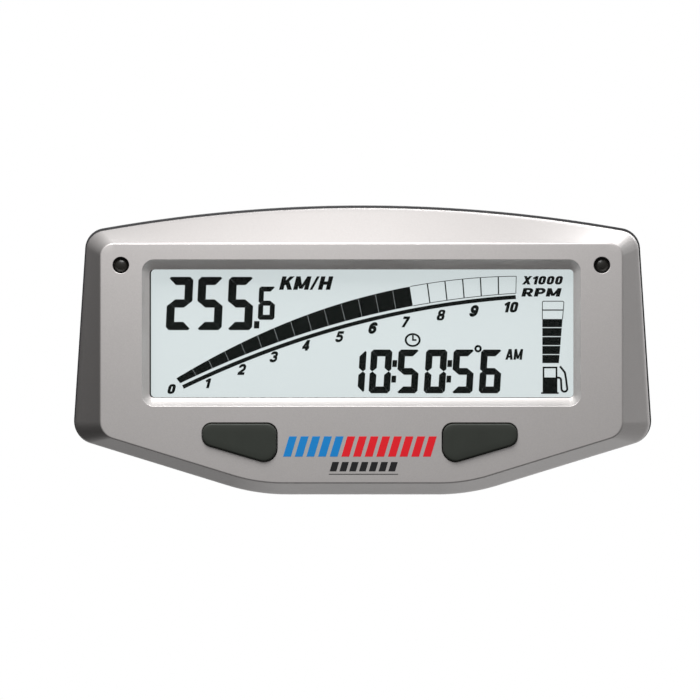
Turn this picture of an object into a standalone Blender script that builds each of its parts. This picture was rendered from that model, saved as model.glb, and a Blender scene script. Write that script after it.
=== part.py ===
"""Digital motorcycle instrument cluster: a painted bezel and a black rear housing round a crystal display.

Frame: +X is the rider's right, +Z is up and the display faces -Y. The origin is the centre of the flat
mounting pad on the back. Sizes are in millimetres. A depth is measured back from the front face.
"""

import math

import bmesh
import bpy
from mathutils import Matrix, Vector

MM = 0.001
GAP = 0.3  # clearance between touching pieces
OVER = 1.0  # how far a cutter runs on past the face that it cuts

# Case
CASE_DEPTH = 30.0  # front face to mounting pad
RIM_DEPTH = 12.0  # where the bezel's sloping walls are widest
BEZEL_BACK = 13.5  # the bezel's rear edge
FRONT_WALL = 2.5
SIDE_WALL = 2.4
FACE_EDGE = 0.5  # rounding of the front face's edge
HOUSING_FRONT = BEZEL_BACK + GAP
HOUSING_BACK = 28.0
HOUSING_PROUD = 0.3  # how far the housing stands out past the bezel's rim
# The housing's outside from front to back, as (inset, depth)
HOUSING_SKIN = [(0.0, HOUSING_FRONT), (0.0, 16.0), (3.0, 26.0), (3.7, 27.3), (4.8, HOUSING_BACK)]
RIM_FLANGE = 3.4  # width of the housing's sealing rim
REAR_WALL_DEPTH = 25.5  # inner face of the housing's rear wall
GROOVE = (1.1, 2.3)  # the seal's groove in the sealing rim: outer and inner inset
GROOVE_BOTTOM = 15.2
SEAL_PLAY = 0.15
CORNER_STEPS = 4
ARCH_STEPS = 8
ROUND_SIDES = 16
PILOT_SIDES = 10

# Half outlines of the front face and of the rim: (x, z, radius) of the top, side and bottom corners,
# and how far the top edge rises in the middle.
FACE = {"top": (58.9, 24.1, 3.0), "side": (58.9, -19.0, 4.0), "foot": (23.3, -29.9, 38.0), "rise": 0.0}
RIM = {"top": (62.15, 26.37, 4.5), "side": (65.15, -19.85, 5.0), "foot": (23.9, -32.55, 46.0), "rise": 5.48}

# Display window, and the stack of plates behind it. A plate is (width, height, corner radius, front, back).
WINDOW_CENTRE = (0.0, 3.75)
WINDOW = (95.4, 28.9, 1.0)  # width, height and corner radius at the inner lip
WINDOW_BEVEL = 1.9
WINDOW_LIP = 0.3  # straight part of the window's edge, behind the bevel
WINDOW_MOUTH_RADIUS = 2.6
LENS = (102.0, 33.4, 1.5, FRONT_WALL + GAP, 4.3)
FRONT_GLASS = (99.0, 35.0, 0.4, 4.6, 5.7)
REAR_GLASS = (96.0, 31.2, 0.4, 5.85, 6.95)
LIGHT_GUIDE = (92.4, 30.0, 0.4, 7.25, 10.25)
REFLECTOR = (92.4, 30.0, 0.4, 10.5, 10.8)
HOLDER = (102.8, 38.2, 2.0, 4.6, 11.3)
HOLDER_LEDGE = FRONT_GLASS[4] + 0.25  # depth of the ledge behind the front glass
HOLDER_HOLLOW = (96.8, 34.8)
CONTACT_STRIP = (94.0, 1.3)
CONTACT_STRIP_OFFSET = 16.55
CONTACT_STRIP_DEPTHS = (6.0, 11.3)
BACKLIGHT = (1.2, 3.2, 0.2)
BACKLIGHT_X, BACKLIGHT_Z = 47.35, 8.0
BACKLIGHT_FRONT = 8.2

# Circuit board
BOARD_FRONT, BOARD_BACK = 11.6, 13.2
BOARD_INSET = 3.2
HEADER_AT = (0.0, -21.0)

# Buttons. The opening's corners are those of the right-hand button.
BUTTON_CORNERS = [(18.5, -16.3, 2.4), (35.5, -16.3, 2.2), (35.5, -21.1, 2.4), (18.5, -26.1, 3.0)]
BUTTON_CENTRE = (26.6, -20.4)
BUTTON_PROUD = 0.7
BUTTON_CLEARANCE = 0.35
BUTTON_SHOULDER = 0.8  # how far the key's shoulder reaches behind the bezel
BUTTON_SHOULDER_DEPTHS = (FRONT_WALL + GAP, 3.8)
BUTTON_STEM_INSET = 1.5
BUTTON_STEM_END = 5.8
BOOT_FLANGE = 2.3  # how far the boot's flange reaches behind the bezel
BOOT_BACK = 3.4
RETAINER_DEPTHS = (BOOT_BACK + GAP, 4.9)
RETAINER_OPENING = 1.7  # how much larger than the button's opening
SWITCH_SIZE = 6.0
SWITCH_FRONT = 7.8
SWITCH_BORE_DEPTH = 1.4
PLUNGER_FRONT = 6.3
PLUNGER_BACK = 8.5
PLUNGER_RADIUS = 1.7

# Warning lights in the bezel's top corners
INDICATOR_AT = (54.1, 19.15)
INDICATOR_HOLE = 1.85

# Fasteners: places are (x, z)
CASE_SCREWS = [(22.0, 26.0), (55.2, 2.0), (45.0, -18.1), (-45.0, -18.1), (-55.2, 2.0), (-22.0, 26.0)]
CASE_POST, CASE_PILOT = 2.5, 1.5
CASE_POST_TIP = BEZEL_BACK + 0.2
CASE_PILOT_END = 7.5
SCREW_CLEARANCE = 1.6
WELL_RADIUS, WELL_FLOOR, WELL_WALL = 2.7, 17.5, 1.3
BOARD_SCREWS = [(56.5, 11.5), (55.5, -11.0), (-55.5, -11.0), (-56.5, 11.5)]
BOARD_POST, BOARD_PILOT = 2.2, 1.1
BOARD_PILOT_END = 6.0
BOARD_SCREW_CLEARANCE = 1.3

# Mounting pad, its threaded inserts, and the harness outlet
PAD = (62.0, 17.0, 3.0)
PAD_FLARE = 1.0
INSERT_X = 20.0
INSERT_RADIUS, INSERT_BORE = 3.3, 2.1
INSERT_FRONT = 22.0
INSERT_BACK = CASE_DEPTH - 0.1
INSERT_BOSS = 5.2
INSERT_BOSS_TIP = 20.0
GROMMET_AT = (0.0, -17.5)
GROMMET_HOLE = 5.5
GROMMET_BORE = 3.6
GROMMET_SIDES = 20

# Colour, roughness and metallic value of each material
MATERIALS = {
    "titanium_paint": ((0.46, 0.44, 0.43), 0.38, 0.75),
    "black_plastic": ((0.025, 0.025, 0.027), 0.55, 0.0),
    "clear_plastic": ((0.85, 0.88, 0.88), 0.08, 0.0),
    "display_glass": ((0.72, 0.76, 0.75), 0.15, 0.0),
    "white_plastic": ((0.82, 0.82, 0.8), 0.5, 0.0),
    "silver_film": ((0.8, 0.8, 0.82), 0.25, 0.9),
    "button_rubber": ((0.035, 0.038, 0.034), 0.62, 0.0),
    "black_rubber": ((0.02, 0.02, 0.02), 0.7, 0.0),
    "board_green": ((0.02, 0.16, 0.06), 0.4, 0.0),
    "chip_black": ((0.03, 0.03, 0.03), 0.5, 0.0),
    "aluminium": ((0.75, 0.75, 0.77), 0.35, 1.0),
    "steel": ((0.55, 0.55, 0.56), 0.32, 1.0),
    "brass": ((0.72, 0.5, 0.2), 0.3, 1.0),
    "smoked_plastic": ((0.04, 0.035, 0.035), 0.15, 0.0),
    "led_epoxy": ((0.7, 0.08, 0.05), 0.2, 0.0),
}


# ---- outlines: lists of (x, z) points ----


def filleted(corners, steps=CORNER_STEPS):
    """A convex polygon's outline. A corner is (x, z, radius), or (x, z, None) where a parabola spans it."""
    count = len(corners)
    ends = []
    for i, (x, z, radius) in enumerate(corners):
        if radius is None:
            ends.append(None)
            continue
        here = Vector((x, z))
        back = (Vector(corners[i - 1][:2]) - here).normalized()
        ahead = (Vector(corners[(i + 1) % count][:2]) - here).normalized()
        half = back.angle(ahead) / 2
        reach = radius / math.tan(half)
        centre = here + (back + ahead).normalized() * radius / math.sin(half)
        ends.append((here + back * reach, here + ahead * reach, centre))
    outline = []
    for i, end in enumerate(ends):
        if end is None:
            start, finish = ends[i - 1][1], ends[(i + 1) % count][0]
            apex = Vector(corners[i][:2])
            for k in range(1, ARCH_STEPS):
                t = k / ARCH_STEPS
                outline.append(start * (1 - t) ** 2 + apex * 2 * t * (1 - t) + finish * t**2)
            continue
        start, finish, centre = end
        sweep = (start - centre).angle_signed(finish - centre)
        for k in range(steps + 1):
            outline.append(centre + Matrix.Rotation(-sweep * k / steps, 2) @ (start - centre))
    return [tuple(point) for point in outline]


def inset_corners(corners, inset):
    """A clockwise polygon's corners moved inwards by inset, or outwards where it is negative."""
    count = len(corners)
    moved = []
    for i, (x, z, radius) in enumerate(corners):
        here = Vector((x, z))
        along_a = (here - Vector(corners[i - 1][:2])).normalized()
        along_b = (Vector(corners[(i + 1) % count][:2]) - here).normalized()
        normal_a = Vector((along_a.y, -along_a.x))
        normal_b = Vector((along_b.y, -along_b.x))
        place = here + (normal_a + normal_b) * (inset / (1 + normal_a.dot(normal_b)))
        moved.append((place.x, place.y, None if radius is None else max(radius - inset, 0.3)))
    return moved


def case_corners(share, rise=0.0):
    """The case's corners, clockwise from the top left, at a share of the way from the face to the rim."""

    def mix(key):
        return [a + (b - a) * share for a, b in zip(FACE[key], RIM[key])]

    top, side, foot = mix("top"), mix("side"), mix("foot")
    apex = top[1] + 2 * (FACE["rise"] + (RIM["rise"] - FACE["rise"]) * share)
    right = [top, side, foot]
    left = [(-x, z, radius) for x, z, radius in reversed(right)]
    corners = [left[-1], (0.0, apex, None), *right, *left[:-1]]
    return [(x, z + rise, radius) for x, z, radius in corners]


def case_outline(depth, inset=0.0):
    share = min(depth / RIM_DEPTH, 1.0)
    return filleted(inset_corners(case_corners(share), inset))


def housing_outline(inset):
    """The rear housing stands a little proud of the bezel, most of all along the top."""
    return filleted(inset_corners(case_corners(1.0, rise=HOUSING_PROUD), inset - HOUSING_PROUD))


def button_outline(side, inset):
    """The button opening's outline, inset. side is 1 for the right-hand button and -1 for the left."""
    corners = [(x * side, z, radius) for x, z, radius in BUTTON_CORNERS]
    return filleted(inset_corners(corners if side > 0 else corners[::-1], inset))


def rounded_rectangle(width, height, radius, centre=(0.0, 0.0), steps=CORNER_STEPS):
    x, z = width / 2, height / 2
    corners = [(-x, z, radius), (x, z, radius), (x, -z, radius), (-x, -z, radius)]
    return [(px + centre[0], pz + centre[1]) for px, pz in filleted(corners, steps)]


def rectangle(width, height, centre=(0.0, 0.0)):
    x, z = width / 2, height / 2
    return [(centre[0] + a, centre[1] + b) for a, b in ((-x, z), (x, z), (x, -z), (-x, -z))]


def circle(radius, centre=(0.0, 0.0), sides=ROUND_SIDES):
    turns = [2 * math.pi * k / sides for k in range(sides)]
    return [(centre[0] + radius * math.cos(turn), centre[1] + radius * math.sin(turn)) for turn in turns]


def mirrored(place):
    """An (x, z) place on the right, and its mirror image on the left."""
    return [place, (-place[0], place[1])]


# ---- solids: a list of (outline, depth) rings, and True where the last ring meets the first ----


def prism(outline, front, back):
    return [(outline, front), (outline, back)], False


def turned(profile, centre=(0.0, 0.0), sides=ROUND_SIDES, closed=False):
    """A solid turned about an axis along Y, from (radius, depth) pairs."""
    return [(circle(radius, centre, sides), depth) for radius, depth in profile], closed


def mesh_of(name, solids):
    mesh = bpy.data.meshes.new(name)
    work = bmesh.new()
    for rings, closed in solids:
        loops = []
        for outline, depth in rings:
            loops.append([work.verts.new(Vector((x, depth - CASE_DEPTH, z)) * MM) for x, z in outline])
        pairs = list(zip(loops, loops[1:]))
        if closed:
            pairs.append((loops[-1], loops[0]))
        else:
            work.faces.new(loops[0])
            work.faces.new(loops[-1][::-1])
        for near, far in pairs:
            for i in range(len(near)):
                work.faces.new((near[i - 1], far[i - 1], far[i], near[i]))
    bmesh.ops.recalc_face_normals(work, faces=work.faces)
    work.to_mesh(mesh)
    work.free()
    mesh.shade_smooth()
    mesh.set_sharp_from_angle(angle=math.radians(32))
    return mesh


def material(name):
    found = bpy.data.materials.get(name)
    if found:
        return found
    colour, roughness, metallic = MATERIALS[name]
    made = bpy.data.materials.new(name)
    made.use_nodes = True
    shader = made.node_tree.nodes["Principled BSDF"]
    shader.inputs["Base Color"].default_value = (*colour, 1.0)
    shader.inputs["Roughness"].default_value = roughness
    shader.inputs["Metallic"].default_value = metallic
    made.diffuse_color = (*colour, 1.0)
    return made


def link(name, mesh):
    made = bpy.data.objects.new(name, mesh)
    bpy.context.scene.collection.objects.link(made)
    return made


def add(name, solid, finish, axis=None):
    """A sub-part. With axis, an (x, z) place, its origin is put on that axis at its front."""
    mesh = mesh_of(name, [solid])
    mesh.materials.append(material(finish))
    made = link(name, mesh)
    if axis:
        front = solid[0][0][1]
        origin = Vector((axis[0], front - CASE_DEPTH, axis[1])) * MM
        for vertex in mesh.vertices:
            vertex.co -= origin
        made.location = origin
    return made


def copies(name, solid, finish, places):
    """One sub-part for each (x, z) place, named name_1, name_2 and so on, all sharing one mesh."""
    mesh = mesh_of(name, [solid])
    mesh.materials.append(material(finish))
    made = []
    for number, (x, z) in enumerate(places, 1):
        piece = link(f"{name}_{number}", mesh)
        piece.location = Vector((x, 0.0, z)) * MM
        made.append(piece)
    return made


def helper(name, solids):
    """A cutter, which isn't part of the model itself."""
    made = link(name, mesh_of(name, solids))
    made.hide_render = True
    made.display_type = "WIRE"
    return made


def cut(target, tool, operation="DIFFERENCE"):
    modifier = target.modifiers.new(tool.name, "BOOLEAN")
    modifier.operation = operation
    modifier.object = tool


# ---- the case ----


def window_cutter():
    """The window's sloping edge, its straight lip, and the way through behind it."""
    width, height, radius = WINDOW
    lip = rounded_rectangle(width, height, radius, WINDOW_CENTRE)
    lip_depth = FRONT_WALL - WINDOW_LIP
    slope = WINDOW_BEVEL / lip_depth
    rings = []
    for depth in (-OVER, 0.0):
        spread = 2 * (WINDOW_BEVEL - slope * depth)
        mouth = rounded_rectangle(width + spread, height + spread, WINDOW_MOUTH_RADIUS, WINDOW_CENTRE)
        rings.append((mouth, depth))
    rings += [(lip, lip_depth), (lip, FRONT_WALL + OVER)]
    return rings, False


def front_bezel():
    edge = FACE_EDGE * 0.3
    skin = [(FACE_EDGE, 0.0), (edge, edge), (0.0, FACE_EDGE), (0.0, RIM_DEPTH), (0.0, BEZEL_BACK)]
    bezel = add("front_bezel", ([(case_outline(d, inset), d) for inset, d in skin], False), "titanium_paint")

    hollow = [(case_outline(d, SIDE_WALL), d) for d in (FRONT_WALL, RIM_DEPTH, BEZEL_BACK + OVER)]
    cavity = helper("bezel_cavity", [(hollow, False)])
    posts = [prism(circle(CASE_POST, at), OVER, CASE_POST_TIP) for at in CASE_SCREWS]
    posts += [prism(circle(BOARD_POST, at), OVER, BOARD_FRONT - GAP) for at in BOARD_SCREWS]
    cut(cavity, helper("bezel_posts", posts))
    cut(bezel, cavity)

    through = (-OVER, FRONT_WALL + OVER)
    holes = [window_cutter()]
    holes += [prism(button_outline(side, 0.0), *through) for side in (-1, 1)]
    holes += [prism(circle(INDICATOR_HOLE, at), *through) for at in mirrored(INDICATOR_AT)]
    for at in CASE_SCREWS:
        holes.append(prism(circle(CASE_PILOT, at, PILOT_SIDES), CASE_PILOT_END, CASE_POST_TIP + OVER))
    for at in BOARD_SCREWS:
        holes.append(prism(circle(BOARD_PILOT, at, PILOT_SIDES), BOARD_PILOT_END, BOARD_FRONT + OVER))
    cut(bezel, helper("bezel_holes", holes))


def rear_housing():
    rings = [(housing_outline(inset), depth) for inset, depth in HOUSING_SKIN]
    housing = add("rear_housing", (rings, False), "black_plastic")
    width, height, radius = PAD
    foot = rounded_rectangle(width + 2 * PAD_FLARE, height + 2 * PAD_FLARE, radius + PAD_FLARE)
    pad = [(foot, HOUSING_BACK - OVER), (foot, HOUSING_BACK), (rounded_rectangle(*PAD), CASE_DEPTH)]
    cut(housing, helper("mounting_pad", [(pad, False)]), "UNION")

    hollow = [(RIM_FLANGE, HOUSING_FRONT - OVER), (RIM_FLANGE, 16.5), (5.6, REAR_WALL_DEPTH)]
    cavity = helper("housing_cavity", [([(housing_outline(inset), depth) for inset, depth in hollow], False)])
    tip = CASE_POST_TIP + GAP
    insert_places = mirrored((INSERT_X, 0.0))
    posts = [prism(circle(WELL_RADIUS + WELL_WALL, at), tip, HOUSING_BACK) for at in CASE_SCREWS]
    posts += [prism(circle(INSERT_BOSS, at), INSERT_BOSS_TIP, HOUSING_BACK) for at in insert_places]
    cut(cavity, helper("housing_posts", posts))
    cut(housing, cavity)

    well = [(SCREW_CLEARANCE, tip - OVER), (SCREW_CLEARANCE, WELL_FLOOR)]
    well += [(WELL_RADIUS, WELL_FLOOR), (WELL_RADIUS, CASE_DEPTH)]
    holes = [turned(well, at) for at in CASE_SCREWS]
    socket = (INSERT_FRONT - 0.5, CASE_DEPTH + OVER)
    holes += [prism(circle(INSERT_RADIUS + GAP, at), *socket) for at in insert_places]
    outlet = circle(GROMMET_HOLE, GROMMET_AT, GROMMET_SIDES)
    holes.append(prism(outlet, REAR_WALL_DEPTH - OVER, CASE_DEPTH))
    outer, inner = housing_outline(GROOVE[0]), housing_outline(GROOVE[1])
    mouth = HOUSING_FRONT - OVER
    groove = [(outer, mouth), (outer, GROOVE_BOTTOM), (inner, GROOVE_BOTTOM), (inner, mouth)]
    holes.append((groove, True))
    cut(housing, helper("housing_holes", holes))


def case_seal():
    """A rubber ring in the housing's groove, which stands out as far as the gap to the bezel lets it."""
    outer, inner = housing_outline(GROOVE[0] + SEAL_PLAY), housing_outline(GROOVE[1] - SEAL_PLAY)
    front, back = BEZEL_BACK + SEAL_PLAY, GROOVE_BOTTOM - SEAL_PLAY
    section = [(outer, front), (outer, back), (inner, back), (inner, front)]
    add("case_seal", (section, True), "black_rubber")


# ---- the display ----


def plate(name, size, finish):
    width, height, radius, front, back = size
    return add(name, prism(rounded_rectangle(width, height, radius, WINDOW_CENTRE, 2), front, back), finish)


def display():
    plate("window_lens", LENS, "clear_plastic")
    plate("lcd_front_glass", FRONT_GLASS, "display_glass")
    plate("lcd_rear_glass", REAR_GLASS, "display_glass")
    plate("light_guide", LIGHT_GUIDE, "clear_plastic")
    plate("reflector_sheet", REFLECTOR, "silver_film")
    for word, side in (("top", 1), ("bottom", -1)):
        centre = (0.0, WINDOW_CENTRE[1] + side * CONTACT_STRIP_OFFSET)
        strip = prism(rectangle(*CONTACT_STRIP, centre), *CONTACT_STRIP_DEPTHS)
        add(f"zebra_strip_{word}", strip, "black_rubber")
    led = prism(rounded_rectangle(*BACKLIGHT, steps=1), BACKLIGHT_FRONT, BOARD_FRONT - GAP)
    places = []
    for side in (1, -1):
        places += mirrored((BACKLIGHT_X, WINDOW_CENTRE[1] + side * BACKLIGHT_Z))
    copies("backlight_led", led, "white_plastic", places)


def lcd_holder():
    """A white frame round the display's stack. Its lower plate presses the button boots to the bezel."""
    holder = plate("lcd_holder", HOLDER, "white_plastic")
    root = WINDOW_CENTRE[1] - HOLDER[1] / 2 + 1.5
    right = [(40.2, root, 1.0), (39.2, -21.6, 2.0), (19.5, -27.8, 4.0)]
    left = [(-x, z, radius) for x, z, radius in reversed(right)]
    retainer = filleted([left[-1], *right, *left[:-1]])
    cut(holder, helper("button_retainer", [prism(retainer, *RETAINER_DEPTHS)]), "UNION")

    ledge = rectangle(FRONT_GLASS[0] + 2 * GAP, FRONT_GLASS[1] + 2 * GAP, WINDOW_CENTRE)
    hollow = rectangle(*HOLDER_HOLLOW, WINDOW_CENTRE)
    front, back = HOLDER[3:]
    stack = [(ledge, front - OVER), (ledge, HOLDER_LEDGE), (hollow, HOLDER_LEDGE), (hollow, back + OVER)]
    pockets = [(stack, False)]
    reach = (RETAINER_DEPTHS[0] - OVER, RETAINER_DEPTHS[1] + OVER)
    pockets += [prism(button_outline(side, -RETAINER_OPENING), *reach) for side in (-1, 1)]
    cut(holder, helper("holder_pockets", pockets))


# ---- the circuit board ----


def main_board():
    outline = case_outline(RIM_DEPTH, BOARD_INSET)
    board = add("main_board", prism(outline, BOARD_FRONT, BOARD_BACK), "board_green")
    through = (BOARD_FRONT - OVER, BOARD_BACK + OVER)
    holes = [prism(circle(CASE_POST + 2 * GAP, at), *through) for at in CASE_SCREWS]
    holes += [prism(circle(BOARD_SCREW_CLEARANCE, at, PILOT_SIDES), *through) for at in BOARD_SCREWS]
    cut(board, helper("board_holes", holes))


def on_board(name, outline, height, finish):
    """A part soldered to the board's back."""
    base = BOARD_BACK + GAP
    return add(name, prism(outline, base, base + height), finish)


def components():
    on_board("microcontroller", rounded_rectangle(14.0, 14.0, 0.6, (4.0, 12.0), 1), 1.4, "chip_black")
    on_board("memory_chip", rectangle(5.0, 4.0, (30.0, -8.0)), 1.5, "chip_black")
    on_board("clock_crystal", rounded_rectangle(11.0, 4.6, 2.2, (30.0, 13.0)), 3.4, "steel")
    on_board("voltage_regulator", rounded_rectangle(6.6, 6.1, 0.4, (-33.0, -6.0), 1), 2.3, "chip_black")
    base = BOARD_BACK + GAP
    can = [(3.4, base), (3.4, base + 1.0), (3.15, base + 1.2), (3.15, base + 6.4), (2.7, base + 6.9)]
    add("filter_capacitor", turned(can, (-34.0, 12.0)), "aluminium")
    height, floor, wall = 7.0, 1.5, 1.2
    width, depth = 22.0, 6.4
    shroud = rounded_rectangle(width, depth, 0.6, HEADER_AT, 1)
    header = on_board("harness_header", shroud, height, "white_plastic")
    inside = rectangle(width - 2 * wall, depth - 2 * wall, HEADER_AT)
    cut(header, helper("header_hollow", [prism(inside, base + floor, base + height + OVER)]))


# ---- buttons, their switches and the warning lights ----


def button(side, word):
    """A rubber key, with a shoulder behind the bezel and a stem that reaches for its switch."""
    skin = BUTTON_CLEARANCE
    shoulder_front, shoulder_back = BUTTON_SHOULDER_DEPTHS
    profile = [  # (inset from the opening, depth)
        (skin + 0.7, -BUTTON_PROUD),
        (skin + 0.2, 0.2 - BUTTON_PROUD),
        (skin, 0.7 - BUTTON_PROUD),
        (skin, shoulder_front),
        (-BUTTON_SHOULDER, shoulder_front),
        (-BUTTON_SHOULDER, shoulder_back),
        (BUTTON_STEM_INSET, shoulder_back),
        (BUTTON_STEM_INSET, BUTTON_STEM_END),
    ]
    rings = [(button_outline(side, inset), depth) for inset, depth in profile]
    add(f"button_{word}", (rings, False), "button_rubber", (side * BUTTON_CENTRE[0], BUTTON_CENTRE[1]))


def button_boot(side, word):
    """The flange clamped behind the bezel, and the thin web that closes the gap to the key."""
    flange_front = FRONT_WALL + GAP
    rim_outer, rim_inner = -1.5, -1.15
    collar = BUTTON_STEM_INSET - GAP
    profile = [  # (inset from the opening, depth), round the boot's section
        (-BOOT_FLANGE, flange_front),
        (rim_inner, flange_front),
        (rim_inner, 4.1),
        (collar, 4.7),
        (collar, 5.2),
        (rim_outer, 4.4),
        (rim_outer, BOOT_BACK),
        (-BOOT_FLANGE, BOOT_BACK),
    ]
    rings = [(button_outline(side, inset), depth) for inset, depth in profile]
    add(f"button_boot_{word}", (rings, True), "button_rubber")


def switch(side, word):
    at = (side * BUTTON_CENTRE[0], BUTTON_CENTRE[1])
    body = prism(rounded_rectangle(SWITCH_SIZE, SWITCH_SIZE, 0.5, at, 1), SWITCH_FRONT, BOARD_FRONT - GAP)
    case = add(f"switch_case_{word}", body, "chip_black")
    bore = prism(circle(PLUNGER_RADIUS + GAP, at), SWITCH_FRONT - OVER, SWITCH_FRONT + SWITCH_BORE_DEPTH)
    cut(case, helper(f"switch_bore_{word}", [bore]))
    edge = 0.2
    tip = [(PLUNGER_RADIUS - edge, PLUNGER_FRONT), (PLUNGER_RADIUS, PLUNGER_FRONT + edge)]
    add(f"switch_plunger_{word}", turned([*tip, (PLUNGER_RADIUS, PLUNGER_BACK)], at), "chip_black", at)


def indicator(side, word):
    """A warning light: a smoked lens held behind the bezel, and the lamp that shines through it."""
    at = (side * INDICATOR_AT[0], INDICATOR_AT[1])
    dome = [(0.7, 0.45), (1.25, 0.65), (1.55, 1.1)]  # (radius, depth)
    flange_front, flange_back = FRONT_WALL + GAP, 3.6
    stem = [(1.55, flange_front), (2.5, flange_front), (2.5, flange_back), (1.4, flange_back), (1.4, 5.6)]
    add(f"indicator_lens_{word}", turned(dome + stem, at), "smoked_plastic")
    lamp = [(0.7, 6.0), (1.3, 6.4), (1.5, 7.2), (1.5, 10.3), (1.8, 10.3), (1.8, BOARD_FRONT - GAP)]
    add(f"indicator_led_{word}", turned(lamp, at, 12), "led_epoxy")


# ---- fasteners, inserts and grommet ----


def cross_recess(width, length, front, back):
    """The four-winged socket of a screw's head."""
    w, s = width / 2, length / 2
    wing = [(w, w), (w, s), (-w, s)]
    outline = []
    for _ in range(4):
        outline += wing
        wing = [(-z, x) for x, z in wing]
    return prism(outline, front, back)


def screws(name, places, head, shank, seat, length, head_height):
    """Pan-head screws driven from the back. head and shank are radii; seat is the depth under the head."""
    profile = [
        (shank * 0.5, seat - length),
        (shank, seat - length + shank),
        (shank, seat),
        (head, seat),
        (head, seat + head_height * 0.55),
        (head * 0.8, seat + head_height * 0.9),
        (head * 0.55, seat + head_height),
    ]
    top = seat + head_height
    socket = cross_recess(head * 0.24, head * 1.1, top - head_height * 0.6, top + OVER)
    for piece in copies(name, turned(profile, sides=12), "steel", places):
        driver = helper(f"{piece.name}_recess", [socket])
        driver.location = piece.location
        cut(piece, driver)


def mount_insert(side, word):
    """A threaded insert for a mounting bolt, with a groove round its waist that keys it in place."""
    outer, chamfer = INSERT_RADIUS, 0.3
    waist, waist_front, waist_back = outer - 0.5, 25.5, 26.3
    profile = [
        (outer, INSERT_FRONT),
        (outer, waist_front - chamfer),
        (waist, waist_front),
        (waist, waist_back),
        (outer, waist_back + chamfer),
        (outer, INSERT_BACK),
        (INSERT_BORE + chamfer, INSERT_BACK),
        (INSERT_BORE, INSERT_BACK - chamfer),
        (INSERT_BORE, INSERT_FRONT),
    ]
    add(f"mount_insert_{word}", turned(profile, (side * INSERT_X, 0.0), closed=True), "brass")


def harness_grommet():
    """The rubber sleeve that the wiring harness leaves by, with a lip on each side of the rear wall."""
    wall_front, wall_back = REAR_WALL_DEPTH - GAP, HOUSING_BACK + GAP
    waist, front = GROMMET_HOLE - GAP, wall_front - 1.2
    back = CASE_DEPTH - 0.2
    profile = [
        (6.6, front),
        (7.0, wall_front),
        (waist, wall_front),
        (waist, wall_back),
        (7.6, wall_back),
        (7.2, wall_back + 0.9),
        (5.0, back),
        (GROMMET_BORE + 0.4, back),
        (GROMMET_BORE, back - 0.4),
        (GROMMET_BORE, front),
    ]
    add("harness_grommet", turned(profile, GROMMET_AT, GROMMET_SIDES, closed=True), "black_rubber")


def build():
    for old in list(bpy.data.objects):
        bpy.data.objects.remove(old)
    front_bezel()
    rear_housing()
    case_seal()
    display()
    lcd_holder()
    main_board()
    components()
    for side, word in ((-1, "left"), (1, "right")):
        button(side, word)
        button_boot(side, word)
        switch(side, word)
        indicator(side, word)
        mount_insert(side, word)
    screws("case_screw", CASE_SCREWS, 2.3, 1.2, WELL_FLOOR + GAP, length=9.5, head_height=1.7)
    screws("board_screw", BOARD_SCREWS, 1.9, 0.8, BOARD_BACK + GAP, length=6.5, head_height=1.3)
    harness_grommet()


build()
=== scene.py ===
"""The looks of a digital motorcycle instrument cluster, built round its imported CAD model.

Shapes are in millimetres, as in the CAD: x is the rider's right, z is up, and a depth is measured back from
the bezel's front face. place() turns them into the frame's metres.
"""

import math

import bmesh
import bpy
from mathutils import Matrix, Vector
from mathutils.geometry import delaunay_2d_cdt


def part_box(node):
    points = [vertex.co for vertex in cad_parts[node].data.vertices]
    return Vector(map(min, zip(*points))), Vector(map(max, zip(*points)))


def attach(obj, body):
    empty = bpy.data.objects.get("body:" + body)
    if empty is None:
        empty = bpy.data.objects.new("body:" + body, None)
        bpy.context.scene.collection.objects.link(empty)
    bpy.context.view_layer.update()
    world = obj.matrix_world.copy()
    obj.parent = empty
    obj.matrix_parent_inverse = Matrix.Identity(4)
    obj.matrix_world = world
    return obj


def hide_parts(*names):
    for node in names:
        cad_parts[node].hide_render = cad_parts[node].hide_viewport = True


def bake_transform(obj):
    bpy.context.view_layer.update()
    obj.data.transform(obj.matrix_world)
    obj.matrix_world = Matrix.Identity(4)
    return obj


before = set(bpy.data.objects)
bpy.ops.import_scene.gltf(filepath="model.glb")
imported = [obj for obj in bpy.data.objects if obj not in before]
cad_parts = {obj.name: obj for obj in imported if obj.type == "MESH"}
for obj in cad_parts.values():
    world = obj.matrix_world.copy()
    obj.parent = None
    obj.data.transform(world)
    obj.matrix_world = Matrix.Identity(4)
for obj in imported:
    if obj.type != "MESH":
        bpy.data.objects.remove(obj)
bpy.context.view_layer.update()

MM = 0.001
OVER = 1.0  # how far a cutter runs on past the face that it cuts
FACE_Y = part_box("front_bezel")[0].y


def centre_of(node):
    low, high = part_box(node)
    return (low.x + high.x) / 2 / MM, (low.z + high.z) / 2 / MM


def front_of(node):
    return (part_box(node)[0].y - FACE_Y) / MM


def back_of(node):
    return (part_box(node)[1].y - FACE_Y) / MM


# Smoothness
CORNER_STEPS = 12
ARCH_STEPS = 48
BEND_STEPS = 6
ROUND_SIDES = 64

# The case, with the CAD's own dimensions
CASE_DEPTH = -FACE_Y / MM
RIM_DEPTH = 12.0
BEZEL_BACK = back_of("case_seal") - 1.55
POST_TIP = BEZEL_BACK + 0.2
FRONT_WALL = 2.5
SIDE_WALL = 2.4
FACE_EDGE = 0.3  # rounding of the front face's edge
WALL_TURN = 10.5  # where the sloping walls begin to turn straight back
GAP = 0.3
HOUSING_FRONT = front_of("rear_housing")
HOUSING_BACK = 28.0
HOUSING_PROUD = 0.29
RIM_FLANGE = 3.4
SLOPE_START, BACK_INSET = 16.0, 3.6  # where the housing's sides turn inwards, and how far they come in
REAR_WALL_DEPTH = 25.5
GROOVE, GROOVE_BOTTOM = (1.1, 2.3), 15.2  # the seal's groove: its insets, and how deep it ends
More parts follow.
